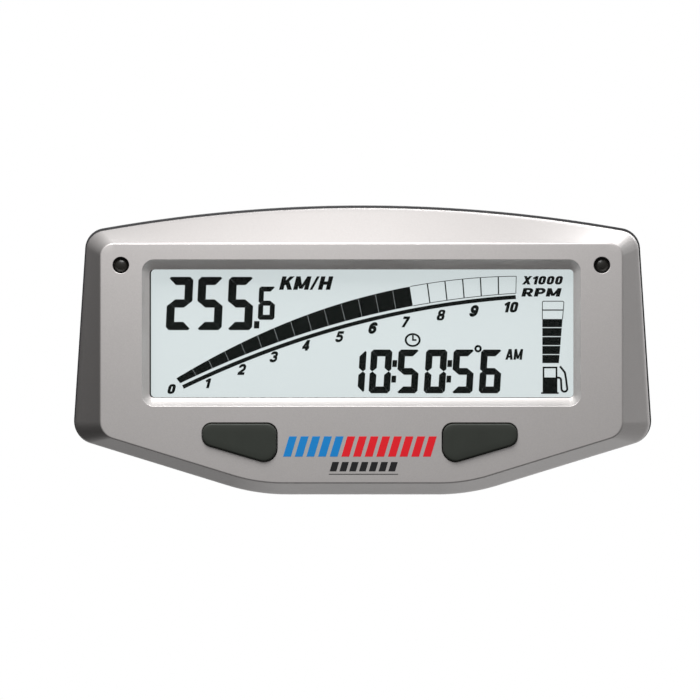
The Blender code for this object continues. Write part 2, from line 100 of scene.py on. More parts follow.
# The right-hand corners of the front face and of the rim: (x, z, radius)
FACE = {"top": (58.75, 24.1, 3.0), "side": (58.75, -19.0, 4.0), "foot": (23.3, -29.9, 38.0)}
RIM = {"top": (62.15, 26.37, 4.5), "side": (65.15, -19.85, 5.0), "foot": (23.9, -32.55, 46.0)}
RIM_RISE = 5.48  # how far the rim's top edge arches up. The face's is straight

# Window: size and corner radius at the inner lip, the cove round it and its mouth
WINDOW_CENTRE = centre_of("window_lens")
WINDOW = (95.4, 28.9, 1.0)
WINDOW_BEVEL = 1.9
BEVEL_SHARES = (0.83, 1.02)  # how far the sides and the top and foot spread
BEVEL_LIFT = 0.075
WINDOW_LIP = 0.3
WINDOW_MOUTH_RADIUS = 2.6
COVE = 0.2  # how hollow the cove is: 0 is a flat bevel, 1 a quarter ellipse
MOUTH_EDGE = 0.2

# Buttons: the right-hand opening's corners
BUTTON_CORNERS = [(18.5, -16.3, 2.4), (35.5, -16.3, 2.2), (35.5, -21.1, 2.4), (18.5, -26.1, 3.0)]
BUTTON_SHIFT = -0.35  # both keys stand a little to the left
BUTTON_CLEARANCE = 0.12
BUTTON_EDGE = 0.18
KEY_INNER_PLAY, KEY_TOP_PLAY = 0.12, 0.08  # extra gap on the key's inner and upper sides
KEY_FRONT = front_of("button_right")
SHOULDER = (0.8, 2.8, 3.8)  # reach behind the bezel, front and back
KEY_STEM = (1.5, 5.8)  # inset and end

INDICATORS = [centre_of("indicator_lens_left"), centre_of("indicator_lens_right")]
INDICATOR_HOLE, INDICATOR_EDGE = 1.85, 0.12

CASE_SCREWS = [centre_of(f"case_screw_{n}") for n in range(1, 7)]
BOARD_SCREWS = [centre_of(f"board_screw_{n}") for n in range(1, 5)]
WELL_RADIUS, WELL_FLOOR, WELL_WALL = 2.7, 17.5, 1.3
# A post's radius, its pilot hole's radius and the depth where that starts
CASE_POST = (2.5, 1.5, 7.5)
BOARD_POST = (2.2, 1.1, 6.0)

PAD = (62.0, 17.0, 3.0)  # width, height and corner radius
INSERTS = [centre_of("mount_insert_left"), centre_of("mount_insert_right")]
INSERT_SOCKET, INSERT_BOSS = (3.6, 21.5), (5.2, 20.0)  # radius, and depth where it starts
INSERT_MOUTH = 0.25
GROMMET_AT = centre_of("harness_grommet")
GROMMET_HOLE, GROMMET_BORE = 5.5, 3.6

# The lit layer lies between the display's two glasses
LIT_FRONT = back_of("lcd_front_glass") + 0.04
LIT_BACK = front_of("lcd_rear_glass") - 0.03

# ---- outlines: lists of (x, z) points ----


def corner_arc(before, here, after, radius, steps):
    """The points of the arc that rounds a corner."""
    back = (before - here).normalized()
    ahead = (after - here).normalized()
    half = back.angle(ahead) / 2
    reach = radius / math.tan(half)
    centre = here + (back + ahead).normalized() * radius / math.sin(half)
    start, end = here + back * reach, here + ahead * reach
    sweep = (start - centre).angle_signed(end - centre)
    return [centre + Matrix.Rotation(-sweep * k / steps, 2) @ (start - centre) for k in range(steps + 1)]


def filleted(corners, steps=CORNER_STEPS):
    """A convex polygon's outline. A corner is (x, z, radius), or (x, z, None) where a parabola spans it."""
    count = len(corners)
    spots = [Vector(corner[:2]) for corner in corners]
    arcs = []
    for i, corner in enumerate(corners):
        after = spots[(i + 1) % count]
        arcs.append(corner[2] and corner_arc(spots[i - 1], spots[i], after, corner[2], steps))
    outline = []
    for i, arc in enumerate(arcs):
        if arc:
            outline += arc
            continue
        start, end = arcs[i - 1][-1], arcs[(i + 1) % count][0]
        for k in range(1, ARCH_STEPS):
            t = k / ARCH_STEPS
            outline.append(start * (1 - t) ** 2 + spots[i] * 2 * t * (1 - t) + end * t**2)
    return [tuple(point) for point in outline]


def inset_corners(corners, inset):
    """A clockwise polygon's corners moved inwards by inset, or outwards where it is negative."""
    count = len(corners)
    moved = []
    for i, (x, z, radius) in enumerate(corners):
        here = Vector((x, z))
        along_a = (here - Vector(corners[i - 1][:2])).normalized()
        along_b = (Vector(corners[(i + 1) % count][:2]) - here).normalized()
        normal_a = Vector((along_a.y, -along_a.x))
        normal_b = Vector((along_b.y, -along_b.x))
        spot = here + (normal_a + normal_b) * (inset / (1 + normal_a.dot(normal_b)))
        moved.append((spot.x, spot.y, None if radius is None else max(radius - inset, 0.3)))
    return moved


def case_corners(share, rise=0.0):
    """The case's corners, clockwise from the top left, at a share of the way from the face to the rim."""

    def mix(key):
        return [a + (b - a) * share for a, b in zip(FACE[key], RIM[key])]

    top, side, foot = mix("top"), mix("side"), mix("foot")
    apex = top[1] + 2 * RIM_RISE * share
    right = [top, side, foot]
    left = [(-x, z, radius) for x, z, radius in reversed(right)]
    corners = [left[-1], (0.0, apex, None), *right, *left[:-1]]
    return [(x, z + rise, radius) for x, z, radius in corners]


def case_outline(depth, inset):
    """The bezel's outline. Its walls spread evenly, then turn gently to run straight back at the rim."""
    turn = 2 * (RIM_DEPTH - WALL_TURN)
    past = min(max(depth - WALL_TURN, 0.0), turn)
    spread = min(depth, WALL_TURN) + past - past**2 / (2 * turn)
    return filleted(inset_corners(case_corners(spread / RIM_DEPTH), inset))


def housing_outline(inset):
    return filleted(inset_corners(case_corners(1.0, rise=HOUSING_PROUD), inset - HOUSING_PROUD))


def sided(corners, side):
    """A right-hand outline's corners, or their mirror image where side is -1."""
    flipped = [(x * side, z, radius) for x, z, radius in corners]
    return flipped if side > 0 else flipped[::-1]


def shifted(outline):
    return [(x + BUTTON_SHIFT, z) for x, z in outline]


def button_outline(side):
    """A button opening's outline, as a function of its inset."""
    return lambda inset: shifted(filleted(inset_corners(sided(BUTTON_CORNERS, side), inset)))


def key_outline(side):
    """The same for a key, which stands clear of its opening, most of all on its inner and upper sides."""
    (ax, az, ar), (bx, bz, br), lower_outer, (dx, dz, dr) = BUTTON_CORNERS
    slope = (lower_outer[1] - dz) / (lower_outer[0] - dx)
    corners = [
        (ax + KEY_INNER_PLAY, az - KEY_TOP_PLAY, ar),
        (bx, bz - KEY_TOP_PLAY, br),
        lower_outer,
        (dx + KEY_INNER_PLAY, dz + KEY_INNER_PLAY * slope, dr),
    ]
    return lambda inset: shifted(filleted(inset_corners(sided(corners, side), inset + BUTTON_CLEARANCE)))


def rounded_rectangle(width, height, radius, centre=(0.0, 0.0), steps=CORNER_STEPS):
    x, z = width / 2, height / 2
    corners = [(-x, z, radius), (x, z, radius), (x, -z, radius), (-x, -z, radius)]
    return [(px + centre[0], pz + centre[1]) for px, pz in filleted(corners, steps)]


def ellipse(across, high, centre=(0.0, 0.0), sides=ROUND_SIDES):
    turns = [2 * math.pi * k / sides for k in range(sides)]
    return [(centre[0] + across * math.cos(turn), centre[1] + high * math.sin(turn)) for turn in turns]


def circle(radius, centre=(0.0, 0.0), sides=ROUND_SIDES):
    return ellipse(radius, radius, centre, sides)


# ---- profiles: lists of (offset, depth) points ----


def bent(profile, steps=BEND_STEPS):
    """A profile with arcs in place of the corners that have a radius, as (offset, depth, radius)."""
    spots = [Vector(point[:2]) for point in profile]
    path = []
    for i, point in enumerate(profile):
        if len(point) == 2:
            path.append(spots[i])
        else:
            path += corner_arc(spots[i - 1], spots[i], spots[i + 1], point[2], steps)
    return [tuple(spot) for spot in path]


def mouth(size, radius):
    """A cutter's profile through the rounded edge of a hole of this size in the front face."""
    turns = [math.pi / 2 * k / BEND_STEPS for k in range(BEND_STEPS + 1)]
    edge = [(size + radius * (1 - math.sin(turn)), radius * (1 - math.cos(turn))) for turn in turns]
    return [(size + radius, -OVER), *edge]


def rear_mouth(size, radius, face):
    """The same from inside, for a hole in a face that looks backwards."""
    return [(offset, face - depth) for offset, depth in mouth(size, radius)[::-1]]


# ---- solids: a list of rings of (x, depth, z) points, and True where the last ring meets the first ----


def ring(outline, depth):
    return [(x, depth, z) for x, z in outline]


def stack(outline, profile):
    """A ring for each (inset, depth) of a profile. outline is a function of the inset."""
    return [ring(outline(inset), depth) for inset, depth in profile]


def prism(outline, front, back):
    return [ring(outline, front), ring(outline, back)], False


def tube(outer, inner, front, back):
    return [ring(outer, front), ring(outer, back), ring(inner, back), ring(inner, front)], True


def pegs(places, radius, front, back, sides=48):
    """A cylinder at each place."""
    return [prism(circle(radius, at, sides), front, back) for at in places]


def turned(profile, centre=(0.0, 0.0), sides=ROUND_SIDES, closed=False):
    """A solid turned about an axis along Y, from (radius, depth) pairs."""
    return [ring(circle(radius, centre, sides), depth) for radius, depth in profile], closed


def place(x, depth, z):
    return Vector((x * MM, FACE_Y + depth * MM, z * MM))


def link(name, mesh):
    made = bpy.data.objects.new(name, mesh)
    bpy.context.scene.collection.objects.link(made)
    return made


def link_faces(name, work):
    """An object of a bmesh's faces. The bmesh is used up."""
    mesh = bpy.data.meshes.new(name)
    work.to_mesh(mesh)
    work.free()
    return link(name, mesh)


def solid(name, solids):
    """An object of closed solids."""
    work = bmesh.new()
    for rings, closed in solids:
        loops = [[work.verts.new(place(*point)) for point in points] for points in rings]
        pairs = list(zip(loops, loops[1:]))
        if closed:
            pairs.append((loops[-1], loops[0]))
        else:
            work.faces.new(loops[0])
            work.faces.new(loops[-1][::-1])
        for near, far in pairs:
            for i in range(len(near)):
                work.faces.new((near[i - 1], far[i - 1], far[i], near[i]))
    bmesh.ops.recalc_face_normals(work, faces=work.faces)
    return link_faces(name, work)


def carve(target, solids, operation="DIFFERENCE"):
    """Cuts solids, or an object, out of the target, or joins them on. Nothing is left of the tool."""
    tool = solid("tool", solids) if isinstance(solids, list) else solids
    modifier = target.modifiers.new("carve", "BOOLEAN")
    modifier.operation = operation
    modifier.object = tool
    graph = bpy.context.evaluated_depsgraph_get()
    mesh = bpy.data.meshes.new_from_object(target.evaluated_get(graph))
    target.modifiers.clear()
    target.data = mesh
    bpy.data.objects.remove(tool)


def smooth(target, angle=32.0):
    """Smooth shading, with edges sharper than angle left sharp and broad faces kept flat."""
    target.data.shade_smooth()
    target.data.set_sharp_from_angle(angle=math.radians(angle))
    weigh = target.modifiers.new("weigh", "WEIGHTED_NORMAL")
    weigh.keep_sharp = True


def dress(target, material, body="housing", nodes=()):
    """Gives a piece its material and its body, and hides the CAD nodes that it stands for."""
    target.data.materials.clear()
    target.data.materials.append(material)
    if body:
        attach(target, body)
    if nodes:
        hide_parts(*nodes)


# ---- materials ----


def add_node(tree, kind, inputs=(), **settings):
    """A shader node. An input is a value, or the socket that it is linked to."""
    made = tree.nodes.new(kind)
    for setting, value in settings.items():
        setattr(made, setting, value)
    for socket, value in dict(inputs).items():
        if isinstance(value, bpy.types.NodeSocket):
            tree.links.new(value, made.inputs[socket])
        else:
            made.inputs[socket].default_value = value
    return made


class Recipe:
    """A procedural material built round one shader. Sizes of its patterns are in millimetres."""

    def __init__(self, name, colour, roughness, metallic=0.0, **sockets):
        self.colour = colour
        self.material = bpy.data.materials.new(name)
        self.material.use_nodes = True
        self.tree = self.material.node_tree
        self.shader = self.tree.nodes["Principled BSDF"]
        sockets.update(Base_Color=(*colour, 1.0), Roughness=roughness, Metallic=metallic)
        for socket, value in sockets.items():
            self.shader.inputs[socket.replace("_", " ")].default_value = value
        self.where = self.node("ShaderNodeTexCoord").outputs["Object"]

    def node(self, kind, inputs=(), **settings):
        return add_node(self.tree, kind, inputs, **settings)

    def noise(self, size, detail=2.0, roughness=0.5, stretch=None):
        where = self.where
        if stretch:
            scaled = {"Vector": where, "Scale": stretch}
            where = self.node("ShaderNodeMapping", scaled).outputs["Vector"]
        inputs = {"Vector": where, "Scale": 1 / (size * MM), "Detail": detail, "Roughness": roughness}
        return self.node("ShaderNodeTexNoise", inputs).outputs["Fac"]

    def cells(self, size):
        """A random colour for each cell, and a value that rises from its middle to its edge."""
        inputs = {"Vector": self.where, "Scale": 1 / (size * MM)}
        outputs = self.node("ShaderNodeTexVoronoi", inputs).outputs
        return outputs["Color"], outputs["Distance"]

    def ramp(self, value, start, end, low=0.0, high=1.0):
        inputs = {"Value": value, "From Min": start, "From Max": end, "To Min": low, "To Max": high}
        return self.node("ShaderNodeMapRange", inputs).outputs["Result"]

    def tint(self, value, dark, light):
        """The base colour, times dark where value is 0 and times light where it is 1."""
        mix = self.node("ShaderNodeMix", {"Factor": value}, data_type="RGBA")
        for socket, share in ((6, dark), (7, light)):
            shares = share if isinstance(share, tuple) else (share, share, share)
            mix.inputs[socket].default_value = (*(c * s for c, s in zip(self.colour, shares)), 1.0)
        self.tree.links.new(mix.outputs[2], self.shader.inputs["Base Color"])

    def gloss(self, value, low, high):
        """The roughness, from low where value is 0 to high where it is 1."""
        spread = self.ramp(value, 0.0, 1.0, low, high)
        self.tree.links.new(spread, self.shader.inputs["Roughness"])

    def bump(self, *layers):
        """Relief. A layer is (value, its depth in mm)."""
        normal = None
        for value, depth in layers:
            inputs = {"Height": value, "Distance": depth * MM, "Strength": 1.0}
            if normal:
                inputs["Normal"] = normal
            normal = self.node("ShaderNodeBump", inputs).outputs["Normal"]
        self.tree.links.new(normal, self.shader.inputs["Normal"])


def metallic_paint():
    sheen = {"Coat_Weight": 0.15, "Coat_Roughness": 0.15}
    recipe = Recipe("metallic_paint", (0.56, 0.535, 0.525), 0.48, 0.6, **sheen)
    colours, _ = recipe.cells(0.14)
    flakes = recipe.node("ShaderNodeSeparateColor", {"Color": colours}).outputs["Red"]
    recipe.tint(flakes, 0.96, 1.04)
    recipe.gloss(recipe.noise(6.0, 3.0), 0.46, 0.5)
    recipe.bump((recipe.noise(1.6), 0.003), (recipe.noise(0.3), 0.0008))
    return recipe.material


def moulded(name, colour, roughness, grain=0.35, relief=0.02, **sockets):
    """Moulded plastic with a fine spark-eroded texture."""
    recipe = Recipe(name, colour, roughness, **sockets)
    recipe.tint(recipe.noise(9.0, 4.0), 0.85, 1.15)
    recipe.gloss(recipe.noise(2.5, 3.0), roughness - 0.06, roughness + 0.06)
    _, pits = recipe.cells(grain * 1.6)
    recipe.bump((recipe.noise(grain, 3.0, 0.6), relief), (pits, relief / 2))
    return recipe.material


def finish(
    name, colour, roughness, metallic=0.0, tint=None, gloss=None, relief=None, stretch=None, **sockets
):
    """A material with noise in its colour, gloss and relief, each given as (size, detail, ...).

    The rest is dark and light, low and high, or the depth. stretch draws the tint and the relief out.
    """
    recipe = Recipe(name, colour, roughness, metallic, **sockets)
    if tint:
        recipe.tint(recipe.noise(*tint[:2], stretch=stretch), *tint[2:])
    if gloss:
        recipe.gloss(recipe.noise(*gloss[:2]), *gloss[2:])
    if relief:
        recipe.bump((recipe.noise(*relief[:2], stretch=stretch), relief[2]))
    return recipe.material


def rubber(name, colour, roughness=0.62, grain=0.16):
    """Moulded rubber: matt, very finely grained and a little dusty."""
    gloss = (1.2, 3.0, roughness - 0.08, roughness + 0.08)
    return finish(
        name, colour, roughness, tint=(5.0, 4.0, 0.85, 1.2), gloss=gloss, relief=(grain, 2.0, 0.006),
        Specular_IOR_Level=0.35, Sheen_Weight=0.08, Sheen_Roughness=0.5,
    )


def clear_sheet(name, alpha):
    """A polished clear plate: mostly see-through, with a faint reflection."""
    return finish(name, (0.01, 0.012, 0.012), 0.03, gloss=(12.0, 2.0, 0.02, 0.05), Alpha=alpha, IOR=3.0)


def printed_ink(name, colour):
    return finish(name, colour, 0.42, tint=(0.9, 3.0, 0.94, 1.05), gloss=(0.5, 2.0, 0.36, 0.5))


def machined_brass():
    recipe = Recipe("machined_brass", (0.74, 0.5, 0.19), 0.26, 1.0)
    recipe.tint(recipe.noise(2.0, 4.0), (0.8, 0.74, 0.7), (1.08, 1.08, 1.1))
    recipe.gloss(recipe.noise(0.8, 3.0), 0.2, 0.38)
    recipe.bump((recipe.noise(0.3, 2.0, stretch=(1.0, 8.0, 1.0)), 0.004))
    return recipe.material


def circuit_board():
    """Green resist over copper pours, which show as slightly lighter patches."""
    recipe = Recipe("circuit_board", (0.02, 0.16, 0.06), 0.35)
    pours = recipe.ramp(recipe.noise(3.0, 0.0), 0.5, 0.53)
    recipe.tint(pours, 0.75, 1.25)
    recipe.gloss(recipe.noise(1.0, 2.0), 0.28, 0.42)
    recipe.bump((pours, 0.03))
    return recipe.material


PAINT = metallic_paint()
BLACK_PLASTIC = moulded("black_nylon", (0.022, 0.022, 0.024), 0.5)
WHITE_PLASTIC = moulded("white_abs", (0.8, 0.8, 0.78), 0.45, relief=0.01)
KEY_RUBBER = rubber("key_silicone", (0.024, 0.028, 0.022))
BOOT_RUBBER = rubber("boot_silicone", (0.012, 0.012, 0.011))
BLACK_RUBBER = rubber("black_epdm", (0.015, 0.015, 0.015), 0.66, 0.22)
STEEL = finish(
    "plated_steel", (0.6, 0.6, 0.58), 0.3, 1.0, tint=(1.5, 3.0, (0.85, 0.88, 0.92), (1.1, 1.06, 0.98)),
    gloss=(0.6, 3.0, 0.24, 0.42), relief=(0.25, 2.0, 0.004),
)
BRASS = machined_brass()
LIT = finish(
    "liquid_crystal", (0.001, 0.003, 0.0022), 0.7, tint=(4.0, 2.0, 0.85, 1.15), Specular_IOR_Level=0.02,
)
SMOKED = finish(
    "smoked_lens", (0.013, 0.012, 0.01), 0.34, tint=(1.5, 2.0, 0.8, 1.2), gloss=(0.7, 2.0, 0.3, 0.38),
    Specular_IOR_Level=0.3, Coat_Weight=0.1,
)
ALUMINIUM = finish(
    "drawn_aluminium", (0.78, 0.78, 0.8), 0.3, 1.0, tint=(1.0, 3.0, 0.9, 1.05), gloss=(0.8, 2.0, 0.24, 0.36),
    stretch=(6.0, 1.0, 6.0),
)
EPOXY = finish(
    "moulded_epoxy", (0.028, 0.028, 0.03), 0.5, tint=(0.4, 3.0, 0.85, 1.2), gloss=(0.5, 2.0, 0.44, 0.56),
    relief=(0.12, 2.0, 0.008),
)
LAMP = finish("tinted_epoxy", (0.7, 0.08, 0.05), 0.15, tint=(1.0, 2.0, 0.85, 1.1), Coat_Weight=0.5)
SILVERED = finish(
    "silvered_film", (0.82, 0.82, 0.84), 0.2, 0.9, tint=(8.0, 2.0, 0.95, 1.03), relief=(6.0, 2.0, 0.05),
)
# The display's rear glass is a pale, even diffuser with a little light of its own
DIFFUSER = finish(
    "pale_diffuser", (0.13, 0.135, 0.135), 0.7, tint=(26.0, 2.0, (0.99, 1.0, 1.0), (1.01, 1.0, 0.995)),
    Specular_IOR_Level=0.1, Emission_Strength=0.69, Emission_Color=(0.92, 1.02, 1.03, 1.0),
)


def dress_cad_nodes():
    """Materials for the CAD nodes whose shapes are kept."""
    sides = ("left", "right")
    leds = [f"backlight_led_{n}" for n in range(1, 5)]
    screws = [f"board_screw_{n}" for n in range(1, 5)]
    switches = [f"switch_{part}_{word}" for part in ("case", "plunger") for word in sides]
    finishes = [
        (clear_sheet("polished_polycarbonate", 0.03), ["window_lens"]),
        (clear_sheet("cell_glass", 0.02), ["lcd_front_glass"]),
        (DIFFUSER, ["lcd_rear_glass"]),
        (clear_sheet("acrylic_guide", 0.3), ["light_guide"]),
        (SILVERED, ["reflector_sheet"]),
        (WHITE_PLASTIC, ["lcd_holder", "harness_header", *leds]),
        (BLACK_RUBBER, ["zebra_strip_top", "zebra_strip_bottom", "case_seal"]),
        (circuit_board(), ["main_board"]),
        (EPOXY, ["microcontroller", "memory_chip", "voltage_regulator", *switches]),
        (STEEL, ["clock_crystal", *screws]),
        (ALUMINIUM, ["filter_capacitor"]),
        (LAMP, [f"indicator_led_{word}" for word in sides]),
    ]
    for material, names in finishes:
        for name in names:
            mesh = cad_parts[name].data
            mesh.materials.clear()
            mesh.materials.append(material)


# ---- the case ----


def window_cutter():
    """The window's rounded mouth, its hollow cove, the straight lip and the way through behind it."""
    width, height, radius = WINDOW
    lip_depth = FRONT_WALL - WINDOW_LIP
    profile = mouth(WINDOW_BEVEL, MOUTH_EDGE)
    steps = 10
    for k in range(1, steps + 1):
        t = k / steps
        across = (1 - COVE) * t + COVE * (1 - math.cos(math.pi / 2 * t))
        down = (1 - COVE) * t + COVE * math.sin(math.pi / 2 * t)
        profile.append((WINDOW_BEVEL * (1 - across), MOUTH_EDGE + (lip_depth - MOUTH_EDGE) * down))
    profile.append((0.0, FRONT_WALL + OVER))
    rings = []
    for spread, depth in profile:
        corner = radius + (WINDOW_MOUTH_RADIUS - radius) * spread / WINDOW_BEVEL
        across, up = (2 * spread * share for share in BEVEL_SHARES)
        centre = (WINDOW_CENTRE[0], WINDOW_CENTRE[1] + BEVEL_LIFT * spread)
        rings.append(ring(rounded_rectangle(width + across, height + up, corner, centre), depth))
    return rings, False


def button_cutter(side):
    profile = [(-spread, depth) for spread, depth in mouth(0.0, BUTTON_EDGE)]
    return stack(button_outline(side), profile + [(0.0, FRONT_WALL + OVER)]), False


def indicator_cutter(at):
    return turned(mouth(INDICATOR_HOLE, INDICATOR_EDGE) + [(INDICATOR_HOLE, FRONT_WALL + OVER)], at)


def painted_bezel():
    skin = bent([(2.0, 0.0), (0.0, 0.0, FACE_EDGE), (0.0, 2.0)])
    straight = [2.0, 5.0, 8.0]
    turn_steps = 10
    run = BEZEL_BACK - 0.25 - WALL_TURN
    turn = [WALL_TURN + run * k / turn_steps for k in range(turn_steps + 1)]
    skin = skin[:-1] + [(0.0, depth) for depth in straight + turn]
    skin += [(0.07, BEZEL_BACK - 0.07), (0.25, BEZEL_BACK)]
    rings = [ring(case_outline(depth, inset), depth) for inset, depth in skin]
    bezel = solid("painted_bezel", [(rings, False)])

    hollow = [FRONT_WALL, WALL_TURN, RIM_DEPTH, BEZEL_BACK, BEZEL_BACK + OVER]
    cavity = solid("cavity", [([ring(case_outline(depth, SIDE_WALL), depth) for depth in hollow], False)])
    case_post, case_pilot, case_pilot_start = CASE_POST
    board_post, board_pilot, board_pilot_start = BOARD_POST
    posts = pegs(CASE_SCREWS, case_post, OVER, POST_TIP, 32)
    posts += pegs(BOARD_SCREWS, board_post, OVER, front_of("main_board") - GAP, 32)
    carve(cavity, posts)
    carve(bezel, cavity)

    holes = [window_cutter(), button_cutter(-1), button_cutter(1)]
    holes += [indicator_cutter(at) for at in INDICATORS]
    holes += pegs(CASE_SCREWS, case_pilot, case_pilot_start, POST_TIP + OVER, 24)
    holes += pegs(BOARD_SCREWS, board_pilot, board_pilot_start, POST_TIP, 24)
    carve(bezel, holes)
    smooth(bezel)
    dress(bezel, PAINT, nodes=["front_bezel"])


def window_mask():
    """A black border round the window, set off-centre so that a hairline of painted shadow shows inside the
    lip.
    """
    width, height, radius = WINDOW
    # The border's inner edge is painted shadow: a dark hairline where the lip's shade falls on the display
    overlap, shadow_hairlines = (4.0, 3.0), (0.34, 0.14)
    centre = (WINDOW_CENTRE[0] + 0.15, WINDOW_CENTRE[1] + 0.06)  # painted shadow, a little wider on the left and below
    outer = rounded_rectangle(width + overlap[0], height + overlap[1], radius + 1.0, WINDOW_CENTRE)
    inner = rounded_rectangle(width - shadow_hairlines[0], height - shadow_hairlines[1], radius - 0.1, centre)
    made = solid("window_mask", [tube(outer, inner, FRONT_WALL + 0.1, FRONT_WALL + 0.2)])
    dress(made, BLACK_RUBBER)


def well_cutter(at):
    """The way in for a screw: a clearance hole, the floor that its head meets, and a rounded mouth."""
    clearance, rounding, edge = 1.6, 0.2, 0.4
    profile = [(clearance, POST_TIP + GAP - OVER), (clearance, WELL_FLOOR)]
    profile += [(WELL_RADIUS - rounding, WELL_FLOOR), (WELL_RADIUS, WELL_FLOOR + rounding)]
    return turned(profile + rear_mouth(WELL_RADIUS, edge, HOUSING_BACK), at, 48)


def moulding_marks():
    """What the mould leaves on the housing's back: ejector pin marks, and a dial's ring and ticks."""
    shallow, pin_radius, ring_radii = 0.12, 1.9, (3.1, 2.75)
    half, start, end, ticks = 0.12, 1.6, 2.3, 12
    top, floor = HOUSING_BACK + OVER, HOUSING_BACK - shallow
    pins = [(38.0, 13.0), (-38.0, 13.0), (38.0, -9.0), (12.0, 17.5), (-12.0, 17.5)]
    marks = pegs(pins, pin_radius, floor, top, 40)
    centre = Vector((-38.0, -9.0))
    outer, inner = (circle(radius, centre, 48) for radius in ring_radii)
    marks.append(tube(outer, inner, top, floor))
    for k in range(ticks):
        turn = Matrix.Rotation(2 * math.pi * k / ticks, 2)
        corners = [(-half, start), (-half, end), (half, end), (half, start)]
        marks.append(prism([centre + turn @ Vector(corner) for corner in corners], floor, top))
    return marks


def black_housing():
    skin = [(0.18, HOUSING_FRONT), (0.05, HOUSING_FRONT + 0.05)]
    skin += bent([
        (0.0, HOUSING_FRONT + 0.18), (0.0, SLOPE_START, 5.0), (BACK_INSET, HOUSING_BACK, 1.8),
        (9.0, HOUSING_BACK),
    ])
    housing = solid("black_housing", [(stack(housing_outline, skin), False)])

    width, height, radius = PAD
    root = HOUSING_BACK - 0.01
    flare = bent([
        (2.4, root - OVER), (2.4, root), (0.8, root, 0.9), (0.15, CASE_DEPTH, 0.35), (-3.0, CASE_DEPTH),
    ])
    rings = []
    for spread, depth in flare:
        outline = rounded_rectangle(width + 2 * spread, height + 2 * spread, max(radius + spread, 0.4))
        rings.append(ring(outline, depth))
    carve(housing, [(rings, False)], "UNION")

    hollow = [(RIM_FLANGE, HOUSING_FRONT - OVER), (RIM_FLANGE, SLOPE_START + 0.5)]
    hollow.append((BACK_INSET + 2.0, REAR_WALL_DEPTH))
    cavity = solid("cavity", [(stack(housing_outline, hollow), False)])
    posts = pegs(CASE_SCREWS, WELL_RADIUS + WELL_WALL, POST_TIP + GAP, HOUSING_BACK)
    posts += pegs(INSERTS, *INSERT_BOSS, HOUSING_BACK)
    carve(cavity, posts)
    carve(housing, cavity)

    holes = [well_cutter(at) for at in CASE_SCREWS]
    socket = [INSERT_SOCKET, *rear_mouth(INSERT_SOCKET[0], INSERT_MOUTH, CASE_DEPTH)]
    holes += [turned(socket, at) for at in INSERTS]
    holes += pegs([GROMMET_AT], GROMMET_HOLE, REAR_WALL_DEPTH - OVER, CASE_DEPTH, ROUND_SIDES)
    outer, inner = (housing_outline(inset) for inset in GROOVE)
    holes.append(tube(outer, inner, HOUSING_FRONT - OVER, GROOVE_BOTTOM))
    carve(housing, holes)
    carve(housing, moulding_marks())
    smooth(housing)
    dress(housing, BLACK_PLASTIC, nodes=["rear_housing"])


# ---- buttons and warning lights ----


def key(side, word):
    """A rubber key with a barely crowned face, and the shoulder and stem that it has in the CAD."""
    rim = KEY_FRONT + 0.1
    front = bent([(1.7, KEY_FRONT), (0.9, KEY_FRONT + 0.02), (0.0, rim, 0.4), (0.0, 2.2)])
    rings = stack(key_outline(side), front)
    reach, shoulder_front, shoulder_back = SHOULDER
    inset, end = KEY_STEM
    rear = bent([(-reach, shoulder_front), (-reach, shoulder_back), (inset, shoulder_back), (inset, end)])
    rings += stack(button_outline(side), rear)
    made = solid(f"key_{word}", [(rings, False)])
    smooth(made)
    dress(made, KEY_RUBBER, f"{word}_button", [f"button_{word}"])


def boot(side, word):
    """The clamped flange and the thin web to the key. The web bends between the housing and the key."""
    section = [
        (-2.3, 2.8), (-1.15, 2.8), (-1.15, 4.35), (-1.0, 4.7), (-0.6, 4.85), (1.2, 5.0),
        (1.2, 5.4), (-0.8, 5.25), (-1.3, 5.0), (-1.5, 4.6), (-1.5, 3.4), (-2.3, 3.4),
    ]
    made = solid(f"boot_{word}", [(stack(button_outline(side), section), True)])
    smooth(made, 60.0)
    dress(made, BOOT_RUBBER, None, [f"button_boot_{word}"])
    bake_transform(made)


def dome(number, word):
    """A smoked warning light: a low dome, and the flange and stem behind the bezel."""
    radius, apex, base = 1.55, 0.45, 1.25
    steps = 10
    profile = []
    for k in range(steps + 1):
        turn = math.radians(4 + 86 * k / steps)
        profile.append((radius * math.sin(turn), base - (base - apex) * math.cos(turn)))
    profile += bent([(radius, 2.8), (2.5, 2.8, 0.15), (2.5, 3.6, 0.15), (1.4, 3.6), (1.4, 5.6)], 3)
    made = solid(f"dome_{word}", [turned(profile, INDICATORS[number])])
    smooth(made)
    dress(made, SMOKED, nodes=[f"indicator_lens_{word}"])


# ---- fasteners, inserts and grommet ----


def cross(at, width, length):
    """A plus sign's outline."""
    w, s = width / 2, length / 2
    arm = [(w, w), (w, s), (-w, s)]
    outline = []
    for _ in range(4):
        outline += [(at[0] + x, at[1] + z) for x, z in arm]
        arm = [(-z, x) for x, z in arm]
    return outline


def pan_head_screws():
    """The case's screws: a domed head with a tapering cross recess, and a threaded shank."""
    seat, head, shank, height = WELL_FLOOR + GAP, 2.3, 1.2, 1.7
    root, tip = shank * 0.85, seat - 9.5
    profile = [(shank * 0.35, tip), (root, tip + 0.9)]
    pitch, turns = 0.8, 9
    for k in range(turns):
        start = tip + 1.1 + k * pitch
        profile += [(root, start), (shank, start + pitch * 0.3), (root, start + pitch * 0.6)]
    profile += bent([
        (shank, seat - 0.6), (shank, seat), (head, seat, 0.12), (head, seat + height * 0.5, 0.5),
        (head * 0.72, seat + height, 1.0), (head * 0.3, seat + height),
    ])
    for number, at in enumerate(CASE_SCREWS, 1):
        made = solid(f"pan_head_screw_{number}", [turned(profile, at, 40)])
        top = seat + height
        recess = [ring(cross(at, 0.3, 0.7), top - 1.1), ring(cross(at, 0.62, 2.9), top + OVER)]
        carve(made, [(recess, False)])
        smooth(made)
        dress(made, STEEL, nodes=[f"case_screw_{number}"])


